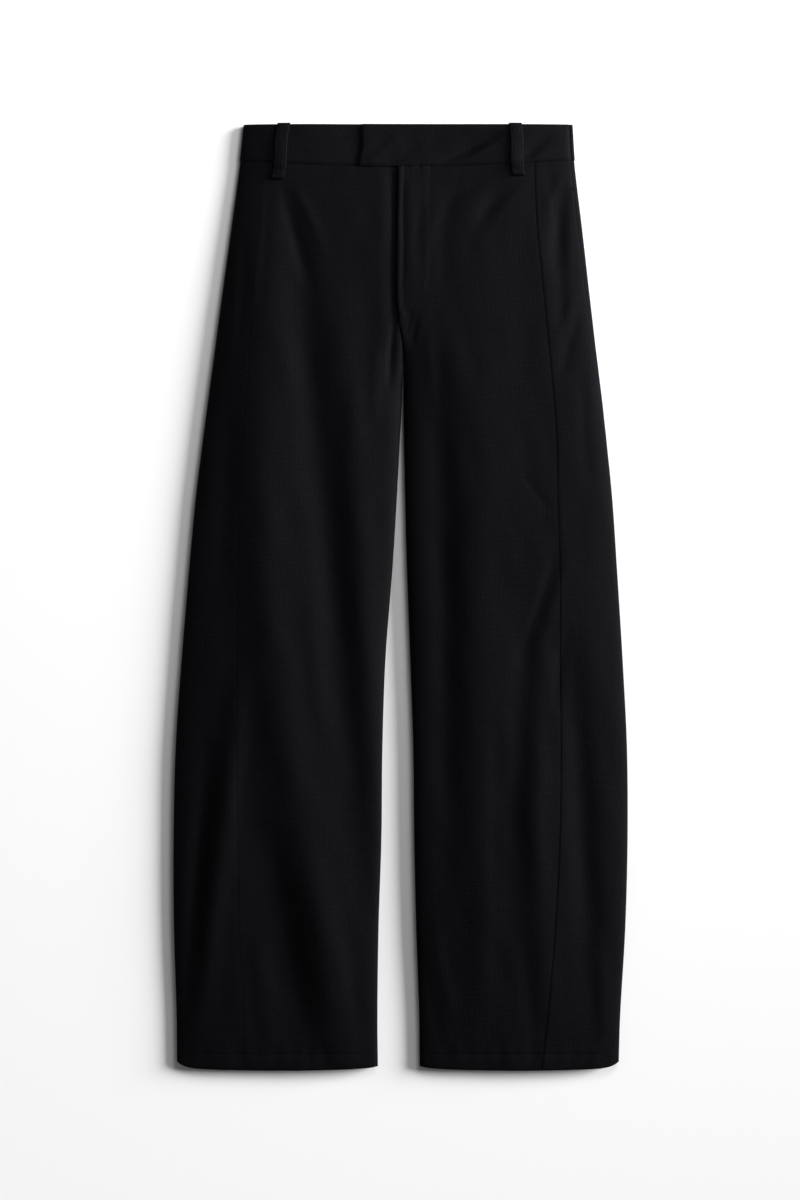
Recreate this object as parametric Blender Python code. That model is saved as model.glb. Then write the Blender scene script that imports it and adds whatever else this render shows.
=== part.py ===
"""Barrel leg trousers, laid flat on their back panels.

Each leg is a closed ring of cloth, worked out at every level from its cut:
a flat underside, a rolled fold at each edge and a lofted front with soft folds.
The panels are stretches of that ring, each a wall of its own thickness.

Millimetres in the tables, metres in the meshes. +X is the wearer's left,
+Y runs up to the waist, +Z faces the viewer. "Down" is the distance from the
top edge of the waistband. A place round the ring is u: -1 at the inner edge,
1 at the outer edge along the front, and on to 3 at the inner edge underneath.
"""
from collections import namedtuple
from math import cos, dist, pi, sin, sqrt

import bmesh
import bpy

MM = 0.001

# Driving dimensions
OUTSEAM = 1061.0            # top of the waistband to the lowest point of the hem
BAND_HEIGHT = 47.5          # waistband at the centre front
BAND_RISE = 7.0             # how much narrower the waistband looks at its sides
BAND_HALF = 190.0           # half the flat waist
PANEL_WALL = 1.2
BAND_WALL = 2.4
BAND_PROUD = 0.8            # the waistband stands this far off the panels
HEM_WALL = 2.2              # two turned layers
HEM_DEPTH = 18.0
HEM_STEP = 3.0              # the wall thickens over this length
SEAM_GAP = 0.3

FLY_END = 200.0
FLY_STEP = 8.0              # below its end the fly closes to a plain seam in this length
FLY_LAP = 14.0              # the right front runs this far under the fly edge
TAB_REACH_TOP = 41.0        # the waistband's tab runs this far past the fly edge
TAB_REACH_BOTTOM = 44.5
TAB_END_X = -44.0
BAND_UNDERLAP = 8.0         # the right waistband goes on under the tab

FLAT_SHARE = 0.93           # flat part of the underside, before it rolls up
ROLL_END = 1.3              # where that flat part starts, as a place round the ring
FRONT_SPACING = 1.7         # places crowd towards the edges by this power
INNER_ROUND = 3.2           # superellipse powers of the front's rolled edges
OUTER_ROUND = {"left": 2.6, "right": 2.2}
CROTCH_START = 212.0        # the front starts to dip between the legs
CROTCH_END = 308.0

LOOP_WIDTH = 14.5
LOOP_WALL = 1.6
LOOP_BOW = 1.6
LOOP_TOP = -1.2

PANEL_ROWS = 28
FRONT_COLUMNS = 14
BAND_ROWS = 3
LOOP_ROWS = 10

SIDES = {"left": 1.0, "right": -1.0}
CENTRE_DOWN = (OUTSEAM + LOOP_TOP) / 2.0

# The cut, level by level: each side's fold edge, front seam and inner edge, the
# height of the rolled edges and the general height of the front.
Level = namedtuple("Level", "down right_outer right_seam right_inner "
                            "left_inner left_seam left_outer edge loft")
LEVELS = [
    Level(0,    -175.5, -157.0, -3.1, -2.8, 149.5, 192.4, 5.6, 13.0),
    Level(44,   -180.2, -158.5, -3.5, -3.2, 150.0, 195.3, 5.8, 14.0),
    Level(120,  -190.4, -160.5, -4.5, -4.2, 153.0, 204.2, 6.2, 16.5),
    Level(200,  -201.4, -168.5, -4.5, -4.2, 160.8, 213.2, 6.6, 18.0),
    Level(255,  -208.7, -170.5,  2.2,  3.2, 166.3, 219.6, 6.8, 18.5),
    Level(308,  -215.8, -174.4,  1.5,  3.3, 171.1, 226.1, 7.0, 18.5),
    Level(355,  -222.0, -178.9, -0.7,  3.8, 174.6, 231.2, 7.0, 18.0),
    Level(420,  -230.0, -181.7, -4.2,  5.1, 176.0, 237.6, 7.0, 17.5),
    Level(500,  -237.4, -184.0, -9.2,  7.1, 178.2, 243.0, 7.0, 17.0),
    Level(600,  -245.7, -185.0, -16.9, 10.7, 178.4, 249.2, 7.0, 16.5),
    Level(700,  -252.5, -184.8, -20.3, 14.1, 179.4, 254.1, 7.0, 16.0),
    Level(800,  -254.8, -183.6, -21.4, 15.2, 177.9, 254.8, 6.8, 15.5),
    Level(900,  -254.4, -181.4, -24.6, 17.4, 172.8, 252.3, 6.6, 14.5),
    Level(1000, -251.4, -177.4, -25.9, 20.8, 164.4, 246.5, 6.2, 12.5),
    Level(1061, -250.9, -176.0, -25.3, 21.4, 157.4, 244.7, 6.0, 11.5),
]

# The side seams as places round the ring: the left one lies on the fold and
# turns under it, the right one has rolled to the underside.
SideSeam = namedtuple("SideSeam", "down left right")
SIDE_SEAMS = [
    SideSeam(0, 0.84, 1.36),
    SideSeam(200, 0.84, 1.36),
    SideSeam(430, 1.00, 1.36),
    SideSeam(1061, 1.14, 1.36),
]

# The belt loops of the front, which lean a little
Loop = namedtuple("Loop", "side top_x bottom_x bottom_down")
LOOPS = [
    Loop("left", 128.3, 132.2, 57.9),
    Loop("right", -130.5, -138.1, 61.9),
]

# The largest folds: a soft ridge (rise above 0) or trough (below 0) that runs
# from its start, through its middle, to its end and dies out at both. It reaches
# as far to its left and right as the last two columns say.
Fold = namedtuple("Fold", "start_down start_x middle_x end_down end_x rise left right")
FOLDS = [
    Fold(110, -158, -146, 1010,  -66,  4.4, 24, 24),
    Fold(50,  -128,  -80,  900,  -34, -4.2, 18, 17),
    Fold(180,  -66,  -44,  800,  -30,  2.4, 15, 15),
    Fold(600, -178, -204, 1040, -232,  3.2, 11, 12),
    Fold(690, -216, -228, 1000, -241, -2.8,  9,  9),
    Fold(780, -150, -129, 1061, -100, -3.2, 26, 16),
    Fold(820, -104,  -82, 1061,  -64,  2.2, 16, 20),
    Fold(225,   36,   50,  860,   52, -2.5, 13, 13),
    Fold(240,   60,   86,  960,   84,  2.8, 21, 30),
    Fold(520,  146,  134,  880,  124, -1.6, 14, 14),
    Fold(540,  160,  150, 1010,  172,  2.3, 14, 14),
    Fold(560,  188,  206, 1040,  216, -2.8, 13, 12),
    Fold(60,   182,  182,  300,  190, -2.0, 10, 10),
    Fold(70,    70,   96,  520,  120,  2.0, 26, 26),
]


def blend(start, end, share):
    return start + (end - start) * share


def ease(value, start, end):
    """0 before start, 1 after end, and smooth between them."""
    share = min(max((value - start) / (end - start), 0.0), 1.0)
    return share * share * (3.0 - 2.0 * share)


def read_table(rows, column, down):
    """A column's value at a level, on a smooth curve through the table's rows."""
    down = min(max(down, rows[0].down), rows[-1].down)
    place = 0
    while place < len(rows) - 2 and down > rows[place + 1].down:
        place += 1

    def slope(at):
        before, after = rows[max(at - 1, 0)], rows[min(at + 1, len(rows) - 1)]
        return (getattr(after, column) - getattr(before, column)) / (after.down - before.down)

    low, high = rows[place], rows[place + 1]
    span = high.down - low.down
    t = (down - low.down) / span
    return ((2 * t**3 - 3 * t**2 + 1) * getattr(low, column)
            + (t**3 - 2 * t**2 + t) * span * slope(place)
            + (3 * t**2 - 2 * t**3) * getattr(high, column)
            + (t**3 - t**2) * span * slope(place + 1))


def ring_edges(side, down, inset=0.0):
    """The inner and outer x of a leg's ring. Above the crotch it has no inner wall."""
    sign = SIDES[side]
    inner = read_table(LEVELS, side + "_inner", down) + sign * inset * closing(down)
    outer = read_table(LEVELS, side + "_outer", down) - sign * inset
    return inner, outer


def closing(down):
    """0 where the halves are one tube, 1 where each leg is its own."""
    return ease(down, CROTCH_START, CROTCH_END)


def across(u):
    """Share of the half width, -1 inner to 1 outer, of a place round the ring."""
    if u <= 1.0:
        return (1.0 - (1.0 - abs(u)) ** FRONT_SPACING) * (1.0 if u > 0 else -1.0)
    if u < ROLL_END:
        return FLAT_SHARE + (1.0 - FLAT_SHARE) * cos(pi / 2.0 * (u - 1.0) / (ROLL_END - 1.0))
    if u <= 4.0 - ROLL_END:
        return FLAT_SHARE * (2.0 - u) / (2.0 - ROLL_END)
    return -across(4.0 - u)


def place_of(share):
    """The place along the front at a share of the half width."""
    return (1.0 - (1.0 - abs(share)) ** (1.0 / FRONT_SPACING)) * (1.0 if share > 0 else -1.0)


def fold_height(x, down):
    total = 0.0
    for fold in FOLDS:
        t = (down - fold.start_down) / (fold.end_down - fold.start_down)
        if 0.0 < t < 1.0:
            path = (blend(fold.start_x, fold.end_x, t)
                    + 4.0 * t * (1.0 - t) * (fold.middle_x - (fold.start_x + fold.end_x) / 2.0))
            away = (x - path) / (fold.left if x < path else fold.right)
            total += fold.rise * sin(pi * t) ** 0.7 * 2.0 ** (-away * away)
    return total


def front_height(side, x, down, inset=0.0):
    """Height of the front over a point of the surface."""
    inner, outer = ring_edges(side, down, inset)
    share = 2.0 * (x - inner) / (outer - inner) - 1.0
    power = OUTER_ROUND[side] if share > 0 else INNER_ROUND
    fullness = max(0.0, 1.0 - min(abs(share), 1.0) ** power) ** (1.0 / power)
    if share < 0:
        fullness = 1.0 - closing(down) * (1.0 - fullness)
    edge = read_table(LEVELS, "edge", down)
    crest = read_table(LEVELS, "loft", down) + fold_height(x, down) - inset
    return edge + (crest - edge) * fullness


def ring_x(side, down, u, lap=0.0, inset=0.0):
    """The x of a place round the ring; lap carries the front past the centre."""
    inner, outer = ring_edges(side, down, inset)
    return blend(inner, outer, (across(u) + 1.0) / 2.0) - SIDES[side] * lap


def ring_point(side, down, u, inset=0.0, lap=0.0, drop=0.0):
    """A point of the ring, set in from the outside of the cloth and lowered by drop."""
    x = ring_x(side, down, u, lap, inset)
    if u <= 1.0:
        return x, down, front_height(side, x, down, inset) - drop
    reach = max(0.0, (abs(across(u)) - FLAT_SHARE) / (1.0 - FLAT_SHARE))
    fullness = sqrt(max(0.0, 1.0 - reach * reach))
    if u > 2.0:
        fullness = 1.0 - closing(down) * (1.0 - fullness)
    edge = read_table(LEVELS, "edge", down)
    return x, down, max(0.0, edge - (edge - inset) * fullness)


def band_seam(x):
    """The level of the seam under the waistband: a shallow curve, higher at the sides."""
    return BAND_HEIGHT - BAND_RISE * (x / BAND_HALF) ** 2


def hem_line(u):
    """The level of the hem: its corners turn up where the leg's edges roll."""
    share = abs(across(u))
    corner = 7.0 if 0.0 < u < 2.0 else 2.0
    return OUTSEAM - 2.8 * share**2 - corner * share**14


def panel_wall(down):
    """The cloth, doubled where the hem is turned up."""
    turn = OUTSEAM - HEM_DEPTH
    return blend(PANEL_WALL, HEM_WALL, ease(down, turn - HEM_STEP, turn))


def front_seam(side, down):
    """The barrel seam between front and side front, as a place round the ring."""
    inner, outer = ring_edges(side, down)
    return place_of(2.0 * (read_table(LEVELS, side + "_seam", down) - inner) / (outer - inner) - 1.0)


def side_seam(side, down):
    return read_table(SIDE_SEAMS, side, down)


def inner_edge_front(side, down):
    return -1.0


def inner_edge_back(side, down):
    return 3.0


def places(stops, columns):
    """Places round the ring, each stretch between two stops in its own number of steps."""
    found = [stops[0]]
    for low, high, count in zip(stops, stops[1:], columns):
        found += [blend(low, high, (step + 1) / count) for step in range(count)]
    return found


def shares(count):
    return [step / count for step in range(count + 1)]


def panel_shares():
    """Shares of a panel's length with a row of points: even ones above the hem's
    turn, and one either side of that turn and of the fly's end."""
    length = OUTSEAM - BAND_HEIGHT
    turn = length - HEM_DEPTH
    above = [turn * share for share in shares(PANEL_ROWS)][:-1]
    fly = [FLY_END - BAND_HEIGHT, FLY_END + FLY_STEP - BAND_HEIGHT]
    above = [down for down in above if not fly[0] - 12.0 < down < fly[1] + 12.0]
    return [down / length for down in sorted(above + fly + [turn - HEM_STEP - 1.0, turn + 1.0, length])]


def nudge(point, neighbour, distance):
    """The point moved towards its neighbour in the same row."""
    length = dist(point, neighbour)
    return tuple(blend(a, b, distance / length) for a, b in zip(point, neighbour))


def part_seams(row, start, end):
    """Sets a row's ends back by half the seam gap: along the cloth at a sewn seam,
    upwards or downwards where the front meets the back at the leg's inner edge."""
    half = SEAM_GAP / 2.0
    ends = {0: (start, 1), -1: (end, -2)}
    moved = list(row)
    for place, (seam, neighbour) in ends.items():
        x, down, height = row[place]
        if seam is inner_edge_front:
            moved[place] = x, down, height + half * closing(down)
        elif seam is inner_edge_back:
            moved[place] = x, down, height - half * closing(down)
        else:
            moved[place] = nudge(row[place], row[neighbour], half)
    return moved


def to_metres(point):
    x, down, height = point
    return x * MM, (CENTRE_DOWN - down) * MM, height * MM


def cloth_material(name):
    material = bpy.data.materials.new(name)
    material.use_nodes = True
    shader = material.node_tree.nodes["Principled BSDF"]
    shader.inputs["Base Color"].default_value = (0.012, 0.012, 0.015, 1.0)
    shader.inputs["Roughness"].default_value = 0.85
    shader.inputs["Metallic"].default_value = 0.0
    return material


def add_wall(name, outside, inside):
    """A closed wall between two grids of points of the same size."""
    mesh = bmesh.new()
    front = [[mesh.verts.new(to_metres(point)) for point in row] for row in outside]
    back = [[mesh.verts.new(to_metres(point)) for point in row] for row in inside]
    last_row, last_column = len(front) - 1, len(front[0]) - 1
    for row in range(last_row):
        for column in range(last_column):
            for grid in (front, back):
                mesh.faces.new((grid[row][column], grid[row][column + 1],
                                grid[row + 1][column + 1], grid[row + 1][column]))
        for column in (0, last_column):
            mesh.faces.new((front[row][column], front[row + 1][column],
                            back[row + 1][column], back[row][column]))
    for column in range(last_column):
        for row in (0, last_row):
            mesh.faces.new((front[row][column], front[row][column + 1],
                            back[row][column + 1], back[row][column]))
    bmesh.ops.recalc_face_normals(mesh, faces=mesh.faces)
    data = bpy.data.meshes.new(name)
    mesh.to_mesh(data)
    mesh.free()
    data.shade_smooth()
    data.set_sharp_from_angle(angle=pi / 4.0)
    data.materials.append(cloth_material(name + "_cloth"))
    thing = bpy.data.objects.new(name, data)
    bpy.context.collection.objects.link(thing)


def add_panel(name, side, start, end, stops, columns):
    """A leg panel between two seams; stops are the fixed places between them.

    The right front is carried on under the fly, and lies lower there."""
    tucked = name == "front_right"
    outside, inside = [], []
    for share in panel_shares():
        level = blend(BAND_HEIGHT, OUTSEAM, share)
        line = places([start(side, level)] + stops + [end(side, level)], columns)
        width = across(end(side, level)) + 1.0
        outer_row, inner_row = [], []
        for u in line:
            lap = drop = 0.0
            if tucked:
                to_seam = (across(u) + 1.0) / width
                sewn = ease(level, FLY_END, FLY_END + FLY_STEP)
                lap = FLY_LAP * (1.0 - sewn) * (1.0 - to_seam) ** 2
            x = ring_x(side, level, u, lap)
            down = blend(band_seam(x) + SEAM_GAP / 2.0, hem_line(u), share)
            if tucked:
                under = ease(x, -24.0, -7.0) * (1.0 - ease(down, FLY_END + FLY_STEP, FLY_END + 50.0))
                drop = (PANEL_WALL + SEAM_GAP) * under
            outer_row.append(ring_point(side, down, u, 0.0, lap, drop))
            inner_row.append(ring_point(side, down, u, panel_wall(down), lap, drop))
        outside.append(part_seams(outer_row, start, end))
        inside.append(part_seams(inner_row, start, end))
    add_wall(name, outside, inside)


def band_grid(side, line, inset, lap_at=None, drop_at=None):
    """Points of the waistband over one side; lap_at and drop_at work as on the fronts."""
    grid = []
    for share in shares(BAND_ROWS):
        row = []
        for u in line:
            to_seam = (across(u) + 1.0) / (across(line[-1]) + 1.0)
            level = BAND_HEIGHT * share
            lap = lap_at(level) * (1.0 - to_seam) ** 2 if lap_at else 0.0
            x = ring_x(side, level, u, lap)
            down = (band_seam(x) - SEAM_GAP / 2.0) * share
            row.append(ring_point(side, down, u, inset, lap, drop_at(x) if drop_at else 0.0))
        grid.append(row)
    return grid


def tab_reach(level):
    """The tab's end leans out a little towards its lower corner."""
    return blend(TAB_REACH_TOP, TAB_REACH_BOTTOM, ease(level, BAND_HEIGHT / 2.0, BAND_HEIGHT))


def under_tab(x):
    """How low the right waistband lies, to pass under the tab."""
    return (BAND_WALL + SEAM_GAP) * ease(x, TAB_END_X - 36.0, TAB_END_X - 14.0)


def add_waistband():
    insets = (-BAND_PROUD, BAND_WALL - BAND_PROUD)
    half = SEAM_GAP / 2.0
    seam = {side: side_seam(side, 0.0) for side in SIDES}

    left_line = places([-1.0, seam["left"]], [16])
    grids = [band_grid("left", left_line, inset, lap_at=tab_reach) for inset in insets]
    add_wall("waistband_left", *[[row[:-1] + [nudge(row[-1], row[-2], half)] for row in grid]
                                 for grid in grids])

    right_line = places([-1.0, 1.0, ROLL_END, seam["right"]], [18, 4, 1])
    grids = [band_grid("right", right_line, inset, lambda level: BAND_UNDERLAP, under_tab)
             for inset in insets]
    add_wall("waistband_right", *[[row[:-1] + [nudge(row[-1], row[-2], half)] for row in grid]
                                  for grid in grids])

    left_line = places([seam["left"], ROLL_END, 4.0 - ROLL_END], [4, 3])
    right_line = places([4.0 - ROLL_END, seam["right"]], [3])
    grids = []
    for inset in insets:
        pairs = zip(band_grid("left", left_line, inset), band_grid("right", right_line, inset))
        rows = [left + right for left, right in pairs]
        grids.append([[nudge(row[0], row[1], half)] + row[1:-1] + [nudge(row[-1], row[-2], half)]
                      for row in rows])
    add_wall("waistband_back", *grids)


def add_belt_loop(loop):
    """A strip over the waistband, sewn at both ends and bowed between them."""
    grids = ([], [])
    for share in shares(LOOP_ROWS):
        down = blend(LOOP_TOP, loop.bottom_down, share)
        centre = blend(loop.top_x, loop.bottom_x, share)
        proud = BAND_PROUD * (1.0 - ease(down, BAND_HEIGHT - 2.0, BAND_HEIGHT + 6.0))
        clear = SEAM_GAP + LOOP_BOW * sin(pi * share) ** 0.6
        for grid, height in zip(grids, (clear + LOOP_WALL, clear)):
            grid.append([(x, down, front_height(loop.side, x, down, -proud) + height)
                         for x in (centre - LOOP_WIDTH / 2.0, centre, centre + LOOP_WIDTH / 2.0)])
    add_wall("belt_loop_" + loop.side, *grids)


def main():
    for thing in list(bpy.data.objects):
        bpy.data.objects.remove(thing)
    for side in SIDES:
        add_panel("front_" + side, side, inner_edge_front, front_seam, [], [FRONT_COLUMNS])
    add_panel("side_front_left", "left", front_seam, side_seam, [], [7])
    add_panel("side_front_right", "right", front_seam, side_seam, [1.0, ROLL_END], [5, 4, 1])
    add_panel("back_left", "left", side_seam, inner_edge_back, [ROLL_END, 4.0 - ROLL_END], [4, 4, 4])
    add_panel("back_right", "right", side_seam, inner_edge_back, [4.0 - ROLL_END], [4, 4])
    add_waistband()
    for loop in LOOPS:
        add_belt_loop(loop)


main()
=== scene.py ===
"""Looks of the barrel leg trousers: every panel as fine cloth on the form of its solid.

The cut is read the same way as in the construction: millimetres, "down" from the
waistband's top edge, and a place round each leg's ring as u, from -1 at the inner
edge over the front to 1 at the outer edge and on to 3 at the inner edge underneath.
"""
from collections import namedtuple
from math import cos, pi, radians, sin

import bpy
import numpy as np
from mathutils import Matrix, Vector


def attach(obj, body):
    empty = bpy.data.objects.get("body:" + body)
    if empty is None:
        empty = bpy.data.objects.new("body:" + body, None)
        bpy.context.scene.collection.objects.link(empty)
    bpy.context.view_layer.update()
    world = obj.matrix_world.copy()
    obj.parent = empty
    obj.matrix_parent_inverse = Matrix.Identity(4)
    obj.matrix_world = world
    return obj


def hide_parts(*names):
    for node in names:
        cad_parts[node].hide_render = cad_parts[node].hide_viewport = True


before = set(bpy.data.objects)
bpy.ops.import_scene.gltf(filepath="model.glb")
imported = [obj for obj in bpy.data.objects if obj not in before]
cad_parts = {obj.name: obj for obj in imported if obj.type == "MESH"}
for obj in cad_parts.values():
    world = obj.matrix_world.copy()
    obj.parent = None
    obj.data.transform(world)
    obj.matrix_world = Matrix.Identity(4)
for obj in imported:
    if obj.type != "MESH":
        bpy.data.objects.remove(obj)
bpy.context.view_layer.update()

MM = 0.001

# Driving dimensions, as in the construction
OUTSEAM = 1061.0
BAND_HEIGHT = 47.5
BAND_RISE = 7.0
BAND_HALF = 190.0
PANEL_WALL = 1.2
BAND_WALL = 2.4
BAND_PROUD = 0.8
HEM_WALL = 2.2
HEM_DEPTH = 18.0
HEM_STEP = 3.0
SEAM_GAP = 0.3
FLY_END = 200.0
FLY_STEP = 8.0
FLY_LAP = 14.0
TAB_REACH_TOP = 41.0
TAB_REACH_BOTTOM = 44.5
TAB_END_X = -44.0
BAND_UNDERLAP = 8.0
FLAT_SHARE = 0.93
ROLL_END = 1.3
FRONT_SPACING = 1.7
INNER_ROUND = 3.2
OUTER_ROUND = {"left": 2.6, "right": 2.2}
CROTCH_START = 212.0
CROTCH_END = 308.0
LOOP_WIDTH = 14.5
LOOP_WALL = 1.6
LOOP_BOW = 1.6
LOOP_TOP = -1.2
SIDES = {"left": 1.0, "right": -1.0}
CENTRE_DOWN = (OUTSEAM + LOOP_TOP) / 2.0

Level = namedtuple("Level", "down right_outer right_seam right_inner "
                            "left_inner left_seam left_outer edge loft")
LEVELS = [
    Level(0,    -175.5, -157.0, -3.1, -2.8, 149.5, 192.4, 5.6, 13.0),
    Level(44,   -180.2, -158.5, -3.5, -3.2, 150.0, 195.3, 5.8, 14.0),
    Level(120,  -190.4, -160.5, -4.5, -4.2, 153.0, 204.2, 6.2, 16.5),
    Level(200,  -201.4, -168.5, -4.5, -4.2, 160.8, 213.2, 6.6, 18.0),
    Level(255,  -208.7, -170.5,  2.2,  3.2, 166.3, 219.6, 6.8, 18.5),
    Level(308,  -215.8, -174.4,  1.5,  3.3, 171.1, 226.1, 7.0, 18.5),
    Level(355,  -222.0, -178.9, -0.7,  3.8, 174.6, 231.2, 7.0, 18.0),
    Level(420,  -230.0, -181.7, -4.2,  5.1, 176.0, 237.6, 7.0, 17.5),
    Level(500,  -237.4, -184.0, -9.2,  7.1, 178.2, 243.0, 7.0, 17.0),
    Level(600,  -245.7, -185.0, -16.9, 10.7, 178.4, 249.2, 7.0, 16.5),
    Level(700,  -252.5, -184.8, -20.3, 14.1, 179.4, 254.1, 7.0, 16.0),
    Level(800,  -254.8, -183.6, -21.4, 15.2, 177.9, 254.8, 6.8, 15.5),
    Level(900,  -254.4, -181.4, -24.6, 17.4, 172.8, 252.3, 6.6, 14.5),
    Level(1000, -251.4, -177.4, -25.9, 20.8, 164.4, 246.5, 6.2, 12.5),
    Level(1061, -250.9, -176.0, -25.3, 21.4, 157.4, 244.7, 6.0, 11.5),
]

SideSeam = namedtuple("SideSeam", "down left right")
SIDE_SEAMS = [
    SideSeam(0, 0.84, 1.36),
    SideSeam(200, 0.84, 1.36),
    SideSeam(430, 1.00, 1.36),
    SideSeam(1061, 1.14, 1.36),
]

Loop = namedtuple("Loop", "side top_x bottom_x bottom_down")
LOOPS = [
    Loop("left", 128.3, 132.2, 57.9),
    Loop("right", -130.5, -138.1, 61.9),
]

# Ridges (rise above 0) and troughs of the cloth. Each runs from its start, through
# its middle, to its end, dies out at both, and has a spread to its left and right.
Fold = namedtuple("Fold", "start_down start_x middle_x end_down end_x rise left right")
FOLDS = [
    # wearer's right leg: the long ridge and trough from the hip to the calf
    Fold(110, -158, -146, 1010,  -66,  4.4, 24, 24),
    Fold( 50, -128,  -80,  900,  -34, -4.2, 18, 17),
    Fold(180,  -66,  -44,  800,  -30,  2.4, 15, 15),
    # its calf: the pulled-in strip by the outer edge and the wedge above the hem
    Fold(600, -178, -204, 1040, -232,  3.2, 11, 12),
    Fold(690, -216, -228, 1000, -241, -2.8,  9,  9),
    Fold(780, -150, -129, 1061, -100, -3.2, 26, 16),
    Fold(820, -104,  -82, 1061,  -64,  2.2, 16, 20),
    # wearer's left leg: trough and ridge from the crotch
    Fold(225,   36,   50,  860,   52, -2.5, 13, 13),
    Fold(240,   60,   86,  960,   84,  2.8, 21, 30),
    # its knee and outer calf
    Fold(520,  146,  134,  880,  124, -1.6, 14, 14),
    Fold(540,  160,  150, 1010,  172,  2.3, 14, 14),
    Fold(560,  188,  206, 1040,  216, -2.8, 13, 12),
    # hips
    Fold( 60,  182,  182,  300,  190, -2.0, 10, 10),
    Fold( 70,   70,   96,  520,  120,  2.0, 26, 26),
]

# Smaller creases that only show from close by
CREASES = [
    # pulls that start under the wearer's right belt loop
    Fold( 62, -134, -118,  190, -100, -1.3,  6,  8),
    Fold( 66, -120, -100,  150,  -84,  0.7,  5,  6),
    Fold( 60, -146, -152,  210, -158, -0.6,  4,  6),
    # slanting pulls beside the fly
    Fold( 60,   84,   58,   73,   34, -0.7, 13, 13),
    Fold( 70,   74,   56,   92,   36, -0.5,  9,  9),
    Fold( 88,   24,   20,  140,   15, -0.4,  3,  4),
    Fold(104,   34,   31,  168,   27,  0.4,  4,  4),
    Fold( 66,   52,   50,  200,   46, -0.6,  7, 10),
    # pulls from the fly's end to the crotch
    Fold(206,    4,   -1,  236,   -7,  0.8,  2,  2),
    Fold(208,   13,    9,  240,    7, -0.9,  2,  2),
    Fold(216,   -6,  -11,  300,  -12, -1.9,  3,  4),
    Fold(214,   20,   15,  250,   12, -1.2,  4,  3),
    Fold(222,   30,   34,  330,   36,  0.7,  6,  6),
    Fold(226,  -22,  -27,  340,  -30,  0.8,  6,  6),
    Fold(200,   50,   36,  236,   18, -0.5,  4,  4),
    # knee of the wearer's left leg, slanting in from the barrel seam
    Fold(478,  176,  158,  590,  138, -1.0,  5,  9),
    Fold(480,  186,  170,  600,  152,  0.8,  7,  7),
    Fold(392,  140,  152,  436,  170, -0.5,  5,  5),
    Fold(560,  190,  178,  660,  176, -0.7,  5,  5),
    # pulls that start under the wearer's left belt loop, and the pocket's mouth
    Fold( 60,  134,  102,  128,   72, -1.2, 11,  9),
    Fold( 56,  142,  118,  120,   90,  0.6,  8,  8),
    Fold( 48,  108,   80,   92,   50, -0.8,  8,  8),
    Fold( 66,  186,  177,  165,  174, -1.3,  6,  6),
    Fold( 52,  186,  172,  100,  164,  0.8,  5,  5),
    Fold(178,  200,  186,  252,  172,  0.8,  5,  6),
    Fold(196,  206,  192,  284,  178, -0.9,  5,  6),
    # under the waistband, wearer's left
    Fold( 48,   70,   56,  130,   40, -0.5,  6,  6),
    Fold( 48,  110,   96,  150,   70, -0.6,  7,  9),
    Fold( 52,  166,  174,  150,  182, -0.7,  5,  7),
    Fold( 90,  192,  188,  250,  190,  0.7,  5,  5),
    Fold(250,  200,  206,  420,  212, -0.7,  6,  6),
    Fold(230,  214,  214,  330,  218,  0.5,  4,  4),
    # waistband: slanting creases of the interfaced cloth
    Fold(  8,  110,   80,   44,   48, -2.5, 12, 11),
    Fold(  6,  128,  100,   44,   70,  0.7,  8,  8),
    Fold( 12,  167,  151,   42,  134, -2.1,  9,  7),
    Fold( 10,   -1,  -16,   44,  -36,  0.9,  6,  6),
    Fold( 20,   22,    5,   46,  -14, -1.0,  9,  9),
    Fold(  4, -166, -160,   40, -158, -0.4,  5,  5),
    Fold(  6,   40,   34,   40,   24, -0.3,  5,  5),
    # the wearer's right hip and thigh
    Fold(110, -178, -176,  240, -182, -0.8,  5,  6),
    Fold(120, -188, -188,  300, -196,  0.5,  5,  5),
    Fold(300, -190, -196,  520, -204, -0.8,  8,  9),
    Fold(250,  -60,  -66,  420,  -70, -0.5,  9,  9),
    Fold(520, -100,  -96,  700,  -86,  0.6,  9,  9),
    # wearer's right calf
    Fold(860, -176, -170, 1040, -160, -0.6,  9,  9),
    Fold(900,  -60,  -52, 1040,  -40, -0.7,  8,  8),
    Fold(700, -196, -190,  860, -196,  0.5,  7,  7),
    # wearer's left calf
    Fold(820,   96,   92, 1040,   80,  0.8, 12, 12),
    Fold(640,  108,  106,  900,  104, -0.6,  8,  8),
    Fold(880,   36,   46, 1010,   60,  0.8,  7,  7),
    Fold(920,   24,   34, 1040,   48, -0.6,  6,  6),
    Fold(900,  222,  226, 1050,  228,  0.6,  6,  6),
    Fold(930,  140,  146, 1056,  150, -0.6,  8,  8),
]

RIPPLE = 0.16               # unevenness of cloth that was pressed and has lain
SEAM_SOFT = 0.8             # how far in from a seam the cloth turns down to it
FLY_RIDGE = 0.7             # the fly's folded edge
FLY_HOLLOW = 1.7            # the right front sinks this much beside it
TAB_LIFT = 1.2              # the tab's end stands off the band under it
FLY_RIDGE_WIDTH = 5.6
FLY_FADE = 14.0             # the fly's relief dies out over this length below its end
GROOVE_FROM_EDGE = 7.4      # the pressed groove beside the fly's edge
STITCH_DIP = 0.22           # how far stitching pulls the cloth in
STITCH_DIP_WIDTH = 1.3
STITCH_PITCH = 3.1
STITCH_LENGTH = 2.2
THREAD = 0.24               # radius
FINE_THREAD = 0.2           # radius of the stitches at the hems and loops
BAR_THREAD = 0.26           # radius of the stitches of the small bars
LOOP_STITCH_IN = 2.2        # from the belt loop's edge to its stitching
J_STITCH_X = 33.0
J_STITCH_TURN = 168.0       # where the fly stitching starts to curve in
HEM_STITCH_DOWN = OUTSEAM - HEM_DEPTH
HEM_DIP = 0.24              # how far the hem's stitching pulls the cloth in
HEM_DIP_WIDTH = 1.4
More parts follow.
